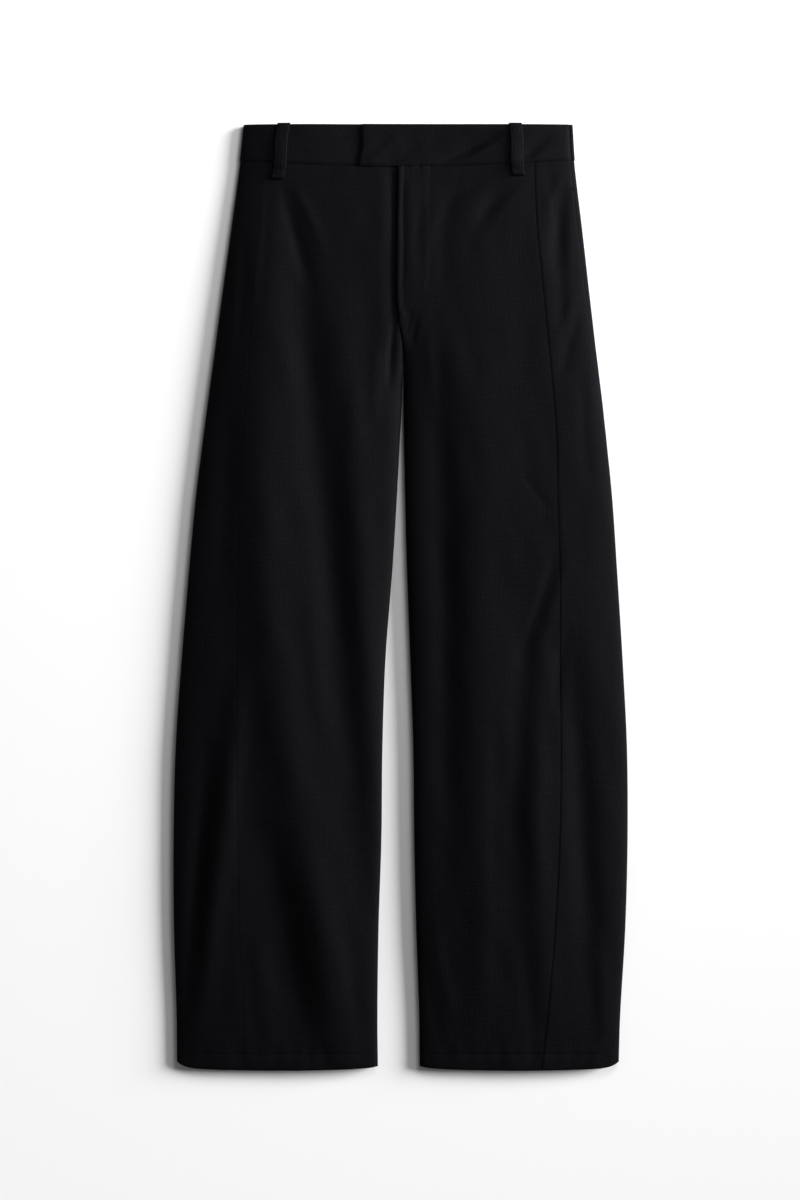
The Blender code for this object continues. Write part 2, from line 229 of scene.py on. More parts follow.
HEM_SLACK = 0.14            # how far the turned cloth stands out below it
POCKET_END = 72.0           # the bar at the top of the pocket's mouth

# Soft creases of the back. The garment lies on them, so they only lift off the floor.
BACK_CREASES = [
    Fold( 60, -120, -128,  420, -150, 0.9, 16, 20),
    Fold(220,  -20,  -36,  560,  -60, 0.8, 12, 12),
    Fold(380, -150, -120,  900, -110, 0.9, 18, 14),
    Fold(640, -190, -206, 1030, -214, 0.7, 12, 12),
    Fold(760,  -70,  -84, 1040,  -96, 0.7, 14, 14),
    Fold( 70,   96,  112,  380,  130, 0.8, 18, 18),
    Fold(230,   24,   40,  600,   62, 0.9, 12, 14),
    Fold(420,  170,  140,  860,  132, 0.9, 16, 18),
    Fold(600,  206,  214, 1000,  216, 0.7, 12, 12),
    Fold(800,   60,   82, 1045,   96, 0.6, 14, 14),
]


def blend(start, end, share):
    return start + (end - start) * share


def ease(value, start, end):
    """0 before start, 1 after end, and smooth between them."""
    share = np.clip((value - start) / (end - start), 0.0, 1.0)
    return share * share * (3.0 - 2.0 * share)


def column_curve(rows, column):
    """A table's column as a smooth function of the level."""
    level = np.array([row.down for row in rows], float)
    value = np.array([getattr(row, column) for row in rows], float)
    before = np.maximum(np.arange(len(rows)) - 1, 0)
    after = np.minimum(np.arange(len(rows)) + 1, len(rows) - 1)
    slope = (value[after] - value[before]) / (level[after] - level[before])

    def read(down):
        down = np.clip(down, level[0], level[-1])
        place = np.clip(np.searchsorted(level, down, side="left") - 1, 0, len(rows) - 2)
        span = level[place + 1] - level[place]
        t = (down - level[place]) / span
        return ((2 * t**3 - 3 * t**2 + 1) * value[place]
                + (t**3 - 2 * t**2 + t) * span * slope[place]
                + (3 * t**2 - 2 * t**3) * value[place + 1]
                + (t**3 - t**2) * span * slope[place + 1])

    return read


CUT = {name: column_curve(LEVELS, name) for name in Level._fields[1:]}
SIDE_SEAM = {side: column_curve(SIDE_SEAMS, side) for side in SIDES}


def closing(down):
    """0 where the halves are one tube, 1 where each leg is its own."""
    return ease(down, CROTCH_START, CROTCH_END)


def ring_edges(side, down, inset=0.0):
    sign = SIDES[side]
    inner = CUT[side + "_inner"](down) + sign * inset * closing(down)
    outer = CUT[side + "_outer"](down) - sign * inset
    return inner, outer


def across(u):
    """Share of the half width, -1 inner to 1 outer, of places round the ring."""
    u = np.asarray(u, float)
    mirrored = np.where(u > 2.0, 4.0 - u, u)
    front = (1.0 - np.maximum(1.0 - np.abs(mirrored), 0.0) ** FRONT_SPACING) * np.sign(mirrored)
    roll = FLAT_SHARE + (1.0 - FLAT_SHARE) * np.cos(pi / 2.0 * (mirrored - 1.0) / (ROLL_END - 1.0))
    flat = FLAT_SHARE * (2.0 - mirrored) / (2.0 - ROLL_END)
    share = np.where(mirrored <= 1.0, front, np.where(mirrored < ROLL_END, roll, flat))
    return np.where(u > 2.0, -share, share)


def place_of(share):
    """The place along the front at a share of the half width."""
    return (1.0 - (1.0 - np.abs(share)) ** (1.0 / FRONT_SPACING)) * np.sign(share)


def fold_height(folds, x, down):
    total = np.zeros(np.broadcast(x, down).shape)
    for fold in folds:
        t = (down - fold.start_down) / (fold.end_down - fold.start_down)
        inside = (t > 0.0) & (t < 1.0)
        t = np.clip(t, 0.0, 1.0)
        path = (blend(fold.start_x, fold.end_x, t)
                + 4.0 * t * (1.0 - t) * (fold.middle_x - (fold.start_x + fold.end_x) / 2.0))
        away = x - path
        away = away / np.where(away < 0.0, fold.left, fold.right)
        total += inside * fold.rise * np.sin(pi * t) ** 0.7 * 2.0 ** (-away * away)
    return total


def ripple(x, down):
    """A slow unevenness of the cloth, from a few crossed waves of uneven length."""
    chance = np.random.default_rng(7)
    total = np.zeros(np.broadcast(x, down).shape)
    for length in (170.0, 120.0, 84.0, 61.0, 43.0, 31.0):
        for _ in range(2):
            lean = chance.uniform(-0.45, 0.45)
            phase = chance.uniform(0.0, 2.0 * pi)
            drift = chance.uniform(0.0, 2.0 * pi)
            wave = (x * cos(lean) + down * sin(lean)) * 2.0 * pi / length + phase
            fade = 0.5 + 0.5 * np.sin(down * 2.0 * pi / (length * 3.7) + drift)
            total += RIPPLE * (length / 84.0) ** 0.8 * np.sin(wave) * fade
    return total


def j_stitch(points=80):
    """The fly's stitching: straight down from the waistband, then in to the fly's end."""
    straight = [(J_STITCH_X, BAND_HEIGHT + 1.0 + step * (J_STITCH_TURN - BAND_HEIGHT) / 30.0)
                for step in range(30)]
    width, height = J_STITCH_X - 6.0, FLY_END + 10.0 - J_STITCH_TURN
    bend = [(J_STITCH_X - width + width * cos(pi / 2.0 * step / (points - 1)),
             J_STITCH_TURN + height * sin(pi / 2.0 * step / (points - 1))) for step in range(points)]
    return np.array(straight + bend)


def distance_to(path, x, down):
    """Distance of every point to a path given by close points."""
    nearest = np.full(np.broadcast(x, down).shape, 1e9)
    for a, b in zip(path, path[1:]):
        along = b - a
        t = np.clip(((x - a[0]) * along[0] + (down - a[1]) * along[1]) / (along @ along), 0.0, 1.0)
        nearest = np.minimum(nearest, np.hypot(x - a[0] - t * along[0], down - a[1] - t * along[1]))
    return nearest


J_PATH = j_stitch()


def fly_relief(x, down):
    """The fly's folded edge, the layers under it and the dip along its stitching."""
    edge = CUT["left_inner"](down)
    from_edge = x - edge
    above = 1.0 - ease(down, FLY_END + FLY_STEP, FLY_END + FLY_STEP + FLY_FADE)
    ridge = FLY_RIDGE * ease(from_edge, -1.0, 1.2) * (1.0 - ease(from_edge, 3.4, FLY_RIDGE_WIDTH + 2.0))
    groove = ease(down, BAND_HEIGHT + 8.0, BAND_HEIGHT + 30.0) * (1.0 - ease(down, 150.0, FLY_END))
    wander = from_edge - GROOVE_FROM_EDGE - 0.8 * np.sin(down / 19.0)
    ridge = ridge - 0.45 * groove * 2.0 ** (-(wander / 1.3) ** 2)
    ridge = ridge + 0.55 * groove * 2.0 ** (-((wander - 8.0) / 5.5) ** 2)
    layers = 0.25 * (1.0 - ease(from_edge, J_STITCH_X - 4.0, J_STITCH_X + 8.0))
    near = (x > -12.0) & (x < 60.0) & (down < FLY_END + 30.0)
    dip = np.zeros(np.broadcast(x, down).shape)
    if near.any():
        both = np.broadcast_to(x, dip.shape)[near], np.broadcast_to(down, dip.shape)[near]
        dip[near] = STITCH_DIP * 2.0 ** (-(distance_to(J_PATH, *both) / STITCH_DIP_WIDTH) ** 2)
    return (ridge + layers) * above - dip


def fly_hollow(x, down):
    """How much lower the right front lies right beside the fly's edge."""
    away = (x + 5.5) / np.where(x < -5.5, 4.5, 9.0)
    begun = ease(down, BAND_HEIGHT + 3.0, BAND_HEIGHT + 14.0)
    ended = ease(down, FLY_END - 8.0, FLY_END + 30.0)
    return FLY_HOLLOW * (begun * (1.0 - ended)) * 2.0 ** (-away * away)


def hem_dip(down):
    """How far the hem's stitching pulls the cloth in at a level."""
    return HEM_DIP * 2.0 ** (-((down - HEM_STITCH_DOWN) / HEM_DIP_WIDTH) ** 2)


def hem_relief(down):
    """The dip along the hem's stitching and the slack of the turned cloth below it."""
    begun = ease(down, HEM_STITCH_DOWN, HEM_STITCH_DOWN + 7.0)
    ended = ease(down, OUTSEAM - 6.0, OUTSEAM)
    return HEM_SLACK * (begun * (1.0 - ended)) - hem_dip(down)


def band_pucker(x, down):
    """Small pulls along the waistband's seam, most of them by the fly."""
    near = 2.0 ** (-((down - band_seam(x)) / 5.0) ** 2)
    strength = 0.05 + 0.09 * 2.0 ** (-((x - 18.0) / 26.0) ** 2)
    return strength * near * (np.sin(x / 0.9 + np.sin(x / 7.0)) + np.sin(x / 2.3 + 2.0))


def hem_pucker(x, down):
    """Small pulls that the hem's stitching leaves above and below it."""
    near = 2.0 ** (-((down - HEM_STITCH_DOWN) / 9.0) ** 2)
    return 0.14 * near * (np.sin(x / 3.1 + 0.7 * np.sin(x / 17.0)) + 0.6 * np.sin(x / 5.3 + 1.0))


def front_height(side, x, down, inset=0.0, relief=None):
    """Height of the front over points of the surface."""
    inner, outer = ring_edges(side, down, inset)
    share = 2.0 * (x - inner) / (outer - inner) - 1.0
    power = np.where(share > 0, OUTER_ROUND[side], INNER_ROUND)
    fullness = np.maximum(1.0 - np.minimum(np.abs(share), 1.0) ** power, 0.0) ** (1.0 / power)
    fullness = np.where(share < 0, 1.0 - closing(down) * (1.0 - fullness), fullness)
    edge = CUT["edge"](down)
    crest = CUT["loft"](down) + fold_height(FOLDS, x, down) - inset
    crest = crest + fold_height(CREASES, x, down) + ripple(x, down)
    if relief is not None:
        crest = crest + relief(x, down)
    return edge + (crest - edge) * fullness


def ring_x(side, down, u, lap=0.0, inset=0.0):
    inner, outer = ring_edges(side, down, inset)
    return blend(inner, outer, (across(u) + 1.0) / 2.0) - SIDES[side] * lap


def ring_points(side, down, u, inset=0.0, lap=0.0, drop=0.0, relief=None):
    """Points of the ring, as an array of x, down and height."""
    x = ring_x(side, down, u, lap, inset)
    front = front_height(side, x, down, inset, relief) - drop
    reach = np.maximum(0.0, (np.abs(across(u)) - FLAT_SHARE) / (1.0 - FLAT_SHARE))
    fullness = np.sqrt(np.maximum(0.0, 1.0 - reach * reach))
    fullness = np.where(u > 2.0, 1.0 - closing(down) * (1.0 - fullness), fullness)
    edge = CUT["edge"](down)
    lifted = (fold_height(BACK_CREASES, x, down) + 0.35 + hem_dip(down)) * fullness
    under = np.maximum(0.0, edge - (edge - inset) * fullness + np.where(u > ROLL_END, lifted, 0.0))
    return np.stack([x, down + 0.0 * x, np.where(u <= 1.0, front, under)], axis=-1)


def band_seam(x):
    return BAND_HEIGHT - BAND_RISE * (x / BAND_HALF) ** 2


def hem_line(u):
    share = np.abs(across(u))
    corner = np.where((u > 0.0) & (u < 2.0), 7.0, 2.0)
    return OUTSEAM - 2.8 * share**2 - corner * share**14


def panel_wall(down):
    turn = OUTSEAM - HEM_DEPTH
    return blend(PANEL_WALL, HEM_WALL, ease(down, turn - HEM_STEP, turn))


# The seams between panels, each as its place round the ring at a level
def front_seam(side, down):
    inner, outer = ring_edges(side, down)
    return place_of(2.0 * (CUT[side + "_seam"](down) - inner) / (outer - inner) - 1.0)


def inner_front(side, down):
    return np.full(np.shape(down), -1.0)


def inner_back(side, down):
    return np.full(np.shape(down), 3.0)


def side_seam(side, down):
    return SIDE_SEAM[side](down)


def with_ends(count, near_start, near_end, length):
    """Even shares from 0 to 1, with close ones near each end at distances in millimetres."""
    even = [step / count for step in range(count + 1)]
    start = [distance / length for distance in near_start]
    end = [1.0 - distance / length for distance in near_end]
    kept = [share for share in even if not start or share == 0.0 or share > max(start) * 1.3]
    kept = [share for share in kept if not end or share == 1.0 or 1.0 - share > (1.0 - min(end)) * 1.3]
    return np.array(sorted(set(kept + start + end)))


def panel_shares():
    """Rows of a panel: even ones, close ones at both ends, at the fly's end and the hem's stitching."""
    length = OUTSEAM - BAND_HEIGHT
    shares = list(with_ends(280, (0.4, 0.9, 1.6, 2.6), (0.3, 0.7, 1.3, 2.2), length))
    close_rows = {FLY_END: (0.0, 2.0, 4.0, 6.0, 8.0), HEM_STITCH_DOWN: (-3.0, -1.2, -0.5, 0.2, 1.0, 2.0)}
    for around, steps in close_rows.items():
        shares += [(around + step - BAND_HEIGHT) / length for step in steps]
    shares = np.array(sorted(shares))
    return shares[np.concatenate([[True], np.diff(shares) > 0.00025])]


def turn_edges(grid, u, dips, soft=SEAM_SOFT):
    """Turns one face of a wall in by the dips at its start, end, top and bottom."""
    inward = np.where(u <= 1.0, -1.0, 1.0)
    ends = grid[:, :1], grid[:, -1:], grid[:1], grid[-1:]
    turned = grid.copy()
    for dip, end in zip(dips, ends):
        away = np.linalg.norm(grid - end, axis=-1) / soft
        turned[..., 2] += inward * dip * 2.0 ** (-away * away)
    return turned


def part_seams(grid, start, end):
    """Sets the ends of every row back by half the seam gap."""
    half = SEAM_GAP / 2.0
    lift = half * closing(grid[:, 0, 1])
    for seam, place, neighbour in ((start, 0, 1), (end, -1, -2)):
        if seam is inner_front:
            grid[:, place, 2] += lift
        elif seam is inner_back:
            grid[:, place, 2] -= lift
        else:
            step = grid[:, neighbour] - grid[:, place]
            length = np.linalg.norm(step, axis=-1, keepdims=True)
            grid[:, place] += step / length * np.minimum(half, length * 0.6)
    return grid


def to_metres(points):
    x, down, height = points[..., 0], points[..., 1], points[..., 2]
    return np.stack([x * MM, (CENTRE_DOWN - down) * MM, height * MM], axis=-1)


def grid_faces(rows, columns, offset, flipped):
    index = offset + np.arange(rows * columns).reshape(rows, columns)
    a, b, c, d = index[:-1, :-1], index[:-1, 1:], index[1:, 1:], index[1:, :-1]
    quads = np.stack([a, d, c, b] if flipped else [a, b, c, d], axis=-1)
    return quads.reshape(-1, 4).tolist()


def wall_mesh(name, outside, inside):
    """A closed wall between two grids of points, and its object."""
    rows, columns = outside.shape[:2]
    points = np.concatenate([to_metres(outside).reshape(-1, 3), to_metres(inside).reshape(-1, 3)])
    count = rows * columns
    faces = grid_faces(rows, columns, 0, False) + grid_faces(rows, columns, count, True)
    index = np.arange(count).reshape(rows, columns)
    rim = (list(index[0, :]) + list(index[1:, -1]) + list(index[-1, -2::-1]) + list(index[-2:0:-1, 0]))
    for a, b in zip(rim, rim[1:] + rim[:1]):
        faces.append([int(b), int(a), int(a) + count, int(b) + count])
    mesh = bpy.data.meshes.new(name)
    mesh.from_pydata(points.tolist(), [], faces)
    mesh.update()
    if signed_volume(points, faces) < 0.0:
        mesh.flip_normals()
    mesh.shade_smooth()
    mesh.set_sharp_from_angle(angle=radians(50.0))
    piece = bpy.data.objects.new(name, mesh)
    bpy.context.scene.collection.objects.link(piece)
    return piece


def signed_volume(points, faces):
    quads = np.array(faces)
    a, b, c, d = (points[quads[:, corner]] for corner in range(4))
    return float(np.einsum("ij,ij->", a, np.cross(b, c)) + np.einsum("ij,ij->", a, np.cross(c, d)))


def dress(piece, node, material):
    """Gives a piece its cloth and lets it stand for its solid."""
    piece.data.materials.append(material)
    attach(piece, "root")
    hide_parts(node)


def add_panel(node, side, start, end, columns, material, dips):
    """A leg panel between two seams, as a fine wall that turns down at them by the dips."""
    tucked = node == "front_right"
    share = panel_shares()[:, None]
    level = blend(BAND_HEIGHT, OUTSEAM, share)
    u = blend(start(side, level), end(side, level), columns[None, :])
    lap = drop = 0.0
    if tucked:
        to_seam = (across(u) + 1.0) / (across(end(side, level)) + 1.0)
        lap = FLY_LAP * (1.0 - ease(level, FLY_END, FLY_END + FLY_STEP)) * (1.0 - to_seam) ** 2
    x = ring_x(side, level, u, lap)
    down = blend(band_seam(x) + SEAM_GAP / 2.0, hem_line(u), share)
    if tucked:
        under = ease(x, -24.0, -7.0) * (1.0 - ease(down, FLY_END + FLY_STEP, FLY_END + 50.0))
        drop = (PANEL_WALL + SEAM_GAP) * under + fly_hollow(x, down)

    def relief(x, down):
        total = hem_relief(down) + hem_pucker(x, down) + band_pucker(x, down)
        return total + fly_relief(x, down) if node == "front_left" else total

    grids = [ring_points(side, down, u, inset, lap, drop, relief) for inset in (0.0, panel_wall(down))]
    outside, inside = [part_seams(grid, start, end) for grid in grids]
    outside = turn_edges(outside, u, dips + (0.22, 0.8))
    inside = turn_edges(inside, u, (0.0, 0.0, 0.0, -0.7))
    piece = wall_mesh(node + "_cloth", outside, inside)
    dress(piece, node, material)
    return piece


def band_points(side, u, inset, lap_at=None, drop_at=None):
    """Points of a stretch of the waistband, which may lap past its half and lie lower."""
    share = with_ends(22, (0.15, 0.5, 1.0, 1.7), (0.15, 0.5, 1.0, 1.7), BAND_HEIGHT)[:, None]
    level = BAND_HEIGHT * share
    to_seam = (across(u) + 1.0) / (across(u[-1]) + 1.0)
    lap = lap_at(level) * (1.0 - to_seam) ** 2 if lap_at else 0.0
    x = ring_x(side, level, u, lap)
    down = (band_seam(x) - SEAM_GAP / 2.0) * share
    drop = drop_at(x) if drop_at else 0.0
    return ring_points(side, down, u + 0.0 * level, inset, lap, drop, band_pucker)


def tab_reach(level):
    return blend(TAB_REACH_TOP, TAB_REACH_BOTTOM, ease(level, BAND_HEIGHT / 2.0, BAND_HEIGHT))


def tab_lift(x):
    """How far the tab rises towards its free end, as a negative drop."""
    return -TAB_LIFT * (1.0 - ease(x, TAB_END_X, -8.0))


def under_tab(x):
    """How low the right waistband lies: a little by the tab's end, and more right under it."""
    shown = (BAND_WALL + SEAM_GAP - TAB_LIFT) * ease(x, TAB_END_X - 40.0, TAB_END_X - 1.0)
    return shown + TAB_LIFT * ease(x, TAB_END_X - 1.0, -10.0)


def set_back(grid, column, neighbour):
    """Moves an end of every row half the seam gap towards its neighbour."""
    step = grid[:, neighbour] - grid[:, column]
    length = np.linalg.norm(step, axis=-1, keepdims=True)
    grid[:, column] += step / length * np.minimum(SEAM_GAP / 2.0, length * 0.6)


def add_band(node, parts, material, parted):
    """A waistband piece of one or two joined stretches, with a folded top edge."""
    walls = []
    outer_dips, inner_dips = (0.9, 0.9, 1.0, 0.7), (-0.6, -0.6, -0.6, -0.5)
    for inset, dips in ((-BAND_PROUD, outer_dips), (BAND_WALL - BAND_PROUD, inner_dips)):
        grids = [band_points(side, u, inset, lap_at, drop_at) for side, u, lap_at, drop_at in parts]
        places = np.concatenate([u for _, u, _, _ in parts])
        grid = np.concatenate(grids, axis=1)
        for wanted, column, neighbour in zip(parted, (0, -1), (1, -2)):
            if wanted:
                set_back(grid, column, neighbour)
        walls.append(turn_edges(grid, places[None, :], dips, 1.2))
    piece = wall_mesh(node + "_cloth", *walls)
    dress(piece, node, material)
    return piece


def front_places(end, length):
    """Places over the front from the inner edge, evenly spaced across."""
    even = with_ends(round(length / 1.6), (0.15, 0.5, 1.0, 1.7), (0.15, 0.5, 1.0, 1.7), length)
    return place_of(blend(-1.0, across(end), even))


def add_waistband(material):
    seam = {side: float(side_seam(side, 0.0)) for side in SIDES}
    roll = np.linspace(1.0, ROLL_END, 16)[1:]
    left = front_places(seam["left"], 230.0)
    right = np.concatenate([front_places(1.0, 190.0), roll, [seam["right"] - 0.02, seam["right"]]])
    add_band("waistband_left", [("left", left, tab_reach, tab_lift)], material,
             (False, True))
    add_band("waistband_right", [("right", right, lambda level: BAND_UNDERLAP, under_tab)], material,
             (False, True))
    turn = place_of(blend(across(seam["left"]), 1.0, np.linspace(0.0, 1.0, 10)))
    back_left = np.concatenate([turn, roll, np.linspace(ROLL_END, 4.0 - ROLL_END, 90)[1:]])
    back_right = np.linspace(4.0 - ROLL_END, seam["right"], 84)
    add_band("waistband_back", [("left", back_left, None, None), ("right", back_right, None, None)],
             material, (True, True))


def loop_spot(loop, share, aside):
    """x and down on a belt loop, at a share of its length and a distance from its middle."""
    centre = blend(loop.top_x, loop.bottom_x, share) + 0.9 * np.sin(2.0 * pi * share) * SIDES[loop.side]
    return centre + aside, blend(LOOP_TOP, loop.bottom_down, share)


def loop_height(loop, share, x, down):
    """The height of the underside of a belt loop."""
    proud = BAND_PROUD * (1.0 - ease(down, BAND_HEIGHT - 2.0, BAND_HEIGHT + 6.0))
    base = front_height(loop.side, x, down + 0.0 * x, 0.0, band_pucker) + proud
    return base + SEAM_GAP + LOOP_BOW * np.sin(pi * share) ** 0.6


def add_belt_loop(loop, material):
    """A folded strip, stitched along both sides and sewn down at both ends."""
    node = "belt_loop_" + loop.side
    share = with_ends(64, (0.15, 0.5, 1.0), (0.15, 0.5, 1.0), loop.bottom_down)[:, None]
    half = LOOP_WIDTH / 2.0
    from_side = (0.0, 0.12, 0.4, 0.8, 1.3, 1.8, LOOP_STITCH_IN, 2.7, 3.6, 5.0)
    aside = np.array([-half + distance for distance in from_side])
    aside = np.concatenate([aside, [0.0], -aside[::-1]])[None, :]
    x, down = loop_spot(loop, share, aside)
    low = loop_height(loop, share, x, down)
    groove = 0.28 * 2.0 ** (-((half - np.abs(aside) - LOOP_STITCH_IN) / 0.6) ** 2)
    doubled = 0.35 * ease(share, 0.86, 0.93)
    sway = 0.18 * np.sin(share * 9.0 + 1.0) * aside / half
    top = low + LOOP_WALL - groove + doubled + sway
    rim = ((half - np.abs(aside)) / 0.7) ** 2
    top = top - 0.75 * 2.0 ** -rim
    low = low + 0.45 * 2.0 ** -rim
    ends = 2.0 ** -(((loop.bottom_down - down) / 0.8) ** 2) + 2.0 ** -(((down - LOOP_TOP) / 0.8) ** 2)
    down = down + 0.0 * x
    outside = np.stack([x, down, top - 0.6 * ends], axis=-1)
    piece = wall_mesh(node + "_cloth", outside, np.stack([x, down, low + 0.2 * ends], axis=-1))
    dress(piece, node, material)
    return piece


def front_top(side, x, down, relief=None):
    return front_height(side, np.asarray(x, float), np.asarray(down, float), 0.0, relief)


def along(path, pitch):
    """Pairs of points on a path, one pair for each stitch."""
    path = np.asarray(path, float)
    reach = np.concatenate([[0.0], np.cumsum(np.linalg.norm(np.diff(path, axis=0), axis=1))])
    starts = np.arange(0.4, reach[-1] - STITCH_LENGTH, pitch)

    def spot(distance):
        columns = [np.interp(distance, reach, path[:, axis]) for axis in range(path.shape[1])]
        return np.stack(columns, axis=-1)

    return list(zip(spot(starts), spot(starts + STITCH_LENGTH)))


StitchRing = namedtuple("StitchRing", "along rise size")
STITCH_RINGS = [
    StitchRing(0.00, -0.70, 0.45),
    StitchRing(0.12, 0.10, 0.85),
    StitchRing(0.50, 0.45, 1.00),
    StitchRing(0.88, 0.10, 0.85),
    StitchRing(1.00, -0.70, 0.45),
]
CORNERS = 6                 # of a thread's section


def stitch_mesh(name, pairs, material, radius=THREAD):
    """One object of many short threads, each bowed up a little between its ends."""
    points, faces = [], []
    for a, b in pairs:
        run = b - a
        flat = np.array([run[0], run[1], 0.0])
        across_run = np.array([-flat[1], flat[0], 0.0]) / np.linalg.norm(flat)
        first = len(points)
        for ring in STITCH_RINGS:
            middle = a + run * ring.along + np.array([0.0, 0.0, ring.rise * radius])
            for corner in range(CORNERS):
                turn = 2.0 * pi * corner / CORNERS
                outward = across_run * cos(turn) + np.array([0, 0, sin(turn)])
                points.append(middle + radius * ring.size * outward)
        last = first + CORNERS * (len(STITCH_RINGS) - 1)
        for start in range(first, last, CORNERS):
            for corner in range(CORNERS):
                low = start + corner
                high = start + (corner + 1) % CORNERS
                faces.append([low, high, high + CORNERS, low + CORNERS])
        faces.append([first + corner for corner in reversed(range(CORNERS))])
        faces.append([last + corner for corner in range(CORNERS)])
    mesh = bpy.data.meshes.new(name)
    mesh.from_pydata(to_metres(np.array(points)).tolist(), [], faces)
    mesh.update()
    mesh.flip_normals()
    mesh.shade_smooth()
    mesh.materials.append(material)
    piece = bpy.data.objects.new(name, mesh)
    bpy.context.scene.collection.objects.link(piece)
    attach(piece, "root")
    return piece


def bartack(middle, along_x, half_length, height_at, rows=9):
    """The close stitches across a bar, as pairs of points."""
    pairs = []
    for step in range(rows):
        offset = blend(-half_length, half_length, step / (rows - 1))
        lean = 0.25 if step % 2 else -0.25
        ends = [(offset - lean, -0.9), (offset + lean, 0.9)]
        if not along_x:
            ends = [(b, a) for a, b in ends]
        spots = [(middle[0] + a, middle[1] + b) for a, b in ends]
        pairs.append([np.array([x, down, float(height_at(x, down))]) for x, down in spots])
    return pairs


def add_stitching(thread):
    """The fly's curved line and bars, the pocket's bar, the hems and the belt loops' sides and bars."""

    def fly_top(x, down):
        return front_top("left", x, down, lambda x, down: fly_relief(x, down) + band_pucker(x, down))

    path = np.column_stack([J_PATH, fly_top(J_PATH[:, 0], J_PATH[:, 1]) + 0.1])
    stitch_mesh("fly_stitches", along(path, STITCH_PITCH), thread)
    stitch_mesh("fly_bar", bartack((3.6, FLY_END + 12.0), False, 4.2, fly_top), thread, 0.3)
    stitch_mesh("fly_side_bar", bartack((26.0, 181.0), False, 3.2, fly_top), thread, BAR_THREAD)

    def left_top(x, down):
        return front_top("left", x, down)

    pocket_x = float(ring_x("left", np.array(POCKET_END), np.array(0.815)))
    stitch_mesh("pocket_bar", bartack((pocket_x, POCKET_END), True, 3.4, left_top), thread, 0.28)
    for side in SIDES:
        sign = SIDES[side]
        inner, outer = ring_edges(side, np.array(HEM_STITCH_DOWN))
        front = np.linspace(inner + sign * 2.0, outer - sign * 9.0, 300)
        down = np.full(front.shape, HEM_STITCH_DOWN)
        height = front_top(side, front, down, lambda x, down: hem_relief(down) + hem_pucker(x, down))
        pairs = along(np.column_stack([front, down, height + 0.12]), STITCH_PITCH)
        back = np.linspace(inner + sign * 12.0, outer - sign * 14.0, 300)
        under = np.full(back.shape, THREAD + 0.05) + fold_height(BACK_CREASES, back, down)
        pairs += along(np.column_stack([back, down, under]), STITCH_PITCH)
        stitch_mesh("hem_stitches_" + side, pairs, thread, FINE_THREAD)
    for loop in LOOPS:
        share = np.linspace(0.02, 0.93, 60)
        pairs = []
        for aside in (-LOOP_WIDTH / 2.0 + LOOP_STITCH_IN, LOOP_WIDTH / 2.0 - LOOP_STITCH_IN):
            x, down = loop_spot(loop, share, aside)
            height = loop_height(loop, share, x, down) + LOOP_WALL - 0.2
            pairs += along(np.column_stack([x, down, height]), STITCH_PITCH)
        stitch_mesh("loop_stitches_" + loop.side, pairs, thread, FINE_THREAD)
        x, down = loop_spot(loop, np.array(0.955), 0.0)

        def loop_top(x, down, loop=loop):
            share = (down - LOOP_TOP) / (loop.bottom_down - LOOP_TOP)
            return loop_height(loop, share, np.array(x), np.array(down)) + LOOP_WALL + 0.35

        bar = bartack((float(x), float(down)), True, 5.6, loop_top, 15)
        stitch_mesh("loop_bar_" + loop.side, bar, thread, BAR_THREAD)


THREADS_SCALE = 900.0       # of the wave textures that stand for warp, weft and twist


